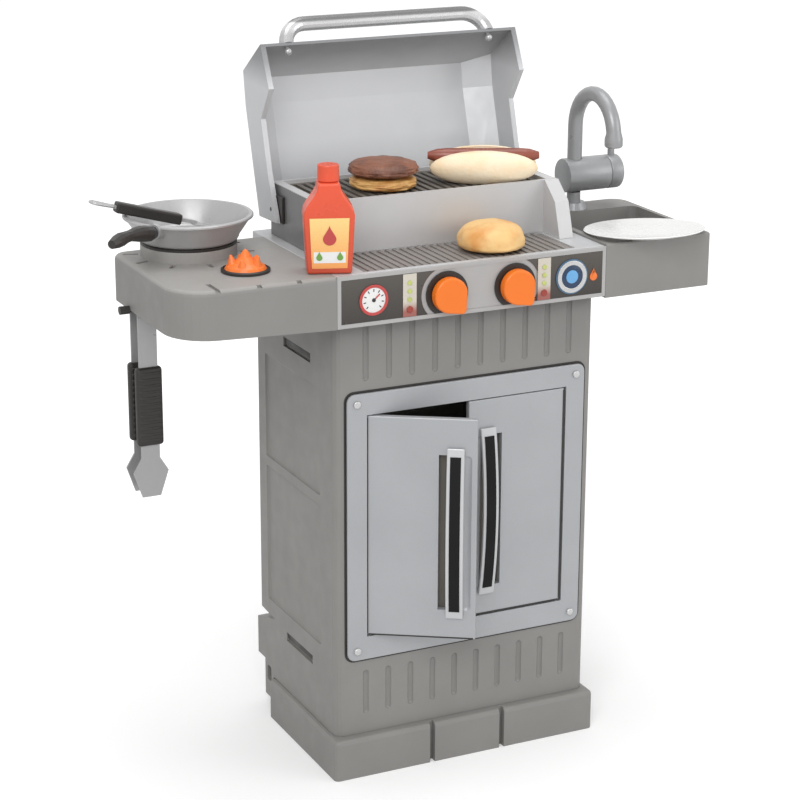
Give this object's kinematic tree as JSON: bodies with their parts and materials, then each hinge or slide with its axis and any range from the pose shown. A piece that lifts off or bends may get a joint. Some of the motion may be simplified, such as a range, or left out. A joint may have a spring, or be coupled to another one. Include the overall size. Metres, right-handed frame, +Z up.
{
  "type": "toy barbecue grill",
  "caption": "Free-standing pretend barbecue with a hinged lid, double-door cabinet, burner shelf, sink shelf with a faucet, knobs, utensils and play food.",
  "frame": {"origin": "on the floor under the middle of the cabinet, on the closed underside of the base", "axes": "+Z up, -Y towards the child who plays at the doors and knobs, +X towards the sink shelf"},
  "size_m": [0.7571, 0.3647, 0.9044],
  "materials": {
    "warm_grey_plastic": "fine moulded texture",
    "silver_plastic": "satin with fine metallic flake",
    "door_silver_plastic": "satin with fine metallic flake",
    "dark_grey_plastic": "satin",
    "black_plastic": "soft gloss",
    "orange_plastic": "gloss",
    "graphite_sticker": "printed film",
    "indicator_sticker": "printed film",
    "dial_sticker": "printed film",
    "griddle_plastic": "satin",
    "pan_silver": "satin with fine metallic flake",
    "steel_pin": "plain drawn wire",
    "faucet_grey": "satin",
    "bottle_red": "soft gloss",
    "label_yellow": "printed film",
    "bread_yellow": "painted",
    "bun_cream": "painted",
    "patty_brown": "painted",
    "sausage_red": "soft gloss",
    "plate_white": "gloss",
    "flame_orange": "gloss"
  },
  "bodies": {
    "root": {"base_plinth": "warm_grey_plastic", "cabinet_body": "warm_grey_plastic", "back_panel": "warm_grey_plastic", "storage_floor": "warm_grey_plastic", "door_frame": "door_silver_plastic", "left_door_pin_top": "steel_pin", "left_door_pin_bottom": "steel_pin", "right_door_pin_top": "steel_pin", "right_door_pin_bottom": "steel_pin", "deck": "silver_plastic", "control_panel": "silver_plastic", "left_panel_plate": "graphite_sticker", "right_panel_plate": "graphite_sticker", "left_indicator": "indicator_sticker", "right_indicator": "indicator_sticker", "igniter_dial": "dial_sticker", "left_knob_ring": "black_plastic", "right_knob_ring": "black_plastic", "griddle": "griddle_plastic", "grill_box": "silver_plastic", "left_lid_hinge": "black_plastic", "right_lid_hinge": "black_plastic", "left_shelf": "warm_grey_plastic", "burner_ring": "black_plastic", "burner_disc": "black_plastic", "burner_flames": "flame_orange", "sink_shelf": "warm_grey_plastic", "faucet_base": "faucet_grey", "utensil_peg": "black_plastic"},
    "lid": {"lid_shell": "silver_plastic", "lid_handle": "pan_silver"},
    "left_door_leaf": {"left_door": "door_silver_plastic", "left_door_handle": "silver_plastic"},
    "right_door_leaf": {"right_door": "door_silver_plastic", "right_door_handle": "silver_plastic"},
    "left_knob_body": {"left_knob": "orange_plastic"},
    "right_knob_body": {"right_knob": "orange_plastic"},
    "faucet_top": {"faucet_body": "faucet_grey", "faucet_spout": "faucet_grey"},
    "faucet_end": {"faucet_handle": "faucet_grey"},
    "grate_body": {"grate": "dark_grey_plastic"},
    "burger_bun": {"bun_bottom": "bread_yellow"},
    "patty": {"burger_patty": "patty_brown"},
    "hot_dog": {"hot_dog_bun": "bun_cream"},
    "sausage_body": {"sausage": "sausage_red"},
    "pan": {"pan_body": "pan_silver", "pan_handle": "black_plastic"},
    "spatula": {"spatula_blade": "pan_silver", "spatula_grip": "black_plastic"},
    "plate_body": {"plate": "plate_white"},
    "bottle": {"sauce_bottle": "bottle_red", "bottle_cap": "bottle_red", "bottle_label": "label_yellow"},
    "loose_bun": {"bun_top": "bread_yellow"},
    "tongs": {"tongs_bend": "pan_silver", "tongs_front_arm": "pan_silver", "tongs_front_grip": "black_plastic"},
    "tongs_rear": {"tongs_rear_arm": "pan_silver", "tongs_rear_grip": "black_plastic"}
  },
  "joints": [
    {"name": "lid_hinge", "type": "hinge", "parent": "root", "child": "lid", "pos_m": [0, 0.07, 0.68], "axis": [-1, 0, 0], "range_deg": [-62, 0]},
    {"name": "left_door_hinge", "type": "hinge", "parent": "root", "child": "left_door_leaf", "pos_m": [-0.13, -0.12, 0.325], "axis": [0, 0, -1], "range_deg": [-32, 68]},
    {"name": "right_door_hinge", "type": "hinge", "parent": "root", "child": "right_door_leaf", "pos_m": [0.13, -0.12, 0.325], "axis": [0, 0, 1], "range_deg": [0, 100]},
    {"name": "left_knob_turn", "type": "hinge", "parent": "root", "child": "left_knob_body", "pos_m": [-0.0375, -0.1362, 0.608], "axis": [0, -1, 0], "range_deg": [-135, 135]},
    {"name": "right_knob_turn", "type": "hinge", "parent": "root", "child": "right_knob_body", "pos_m": [0.0535, -0.1362, 0.608], "axis": [0, -1, 0], "range_deg": [-135, 135]},
    {"name": "faucet_swivel", "type": "hinge", "parent": "root", "child": "faucet_top", "pos_m": [0.2415, 0.053, 0.667], "axis": [0, 0, 1], "range_deg": [-30, 60]},
    {"name": "faucet_handle_turn", "type": "hinge", "parent": "faucet_top", "child": "faucet_end", "pos_m": [0.2865, 0.053, 0.6895], "axis": [1, 0, 0], "range_deg": [-40, 40]},
    {"name": "grate_lift", "type": "slide", "parent": "root", "child": "grate_body", "axis": [0, 0, 1], "range_m": [0, 0.05]},
    {"name": "burger_lift", "type": "slide", "parent": "grate_body", "child": "burger_bun", "axis": [0, 0, 1], "range_m": [0, 0.03]},
    {"name": "patty_lift", "type": "slide", "parent": "burger_bun", "child": "patty", "axis": [0, 0, 1], "range_m": [0, 0.03]},
    {"name": "hot_dog_lift", "type": "slide", "parent": "grate_body", "child": "hot_dog", "axis": [0, 0, 1], "range_m": [0, 0.03]},
    {"name": "sausage_lift", "type": "slide", "parent": "hot_dog", "child": "sausage_body", "axis": [0, 0, 1], "range_m": [0, 0.03]},
    {"name": "pan_lift", "type": "slide", "parent": "root", "child": "pan", "axis": [0, 0, 1], "range_m": [0, 0.06]},
    {"name": "spatula_lift", "type": "slide", "parent": "pan", "child": "spatula", "axis": [0, 0, 1], "range_m": [0, 0.05]},
    {"name": "plate_lift", "type": "slide", "parent": "root", "child": "plate_body", "axis": [0, 0, 1], "range_m": [0, 0.06]},
    {"name": "bottle_lift", "type": "slide", "parent": "root", "child": "bottle", "axis": [0, 0, 1], "range_m": [0, 0.08]},
    {"name": "bun_top_lift", "type": "slide", "parent": "root", "child": "loose_bun", "axis": [0, 0, 1], "range_m": [0, 0.05]},
    {"name": "tongs_slide", "type": "slide", "parent": "root", "child": "tongs", "axis": [0.9848, 0, 0.1736], "range_m": [0, 0.06]},
    {"name": "tongs_squeeze", "type": "hinge", "parent": "tongs", "child": "tongs_rear", "pos_m": [-0.3585, 0.039, 0.5798], "axis": [-1, 0, 0], "range_deg": [0, 4], "stiffness_Nm_per_rad": 0.4}
  ]
}
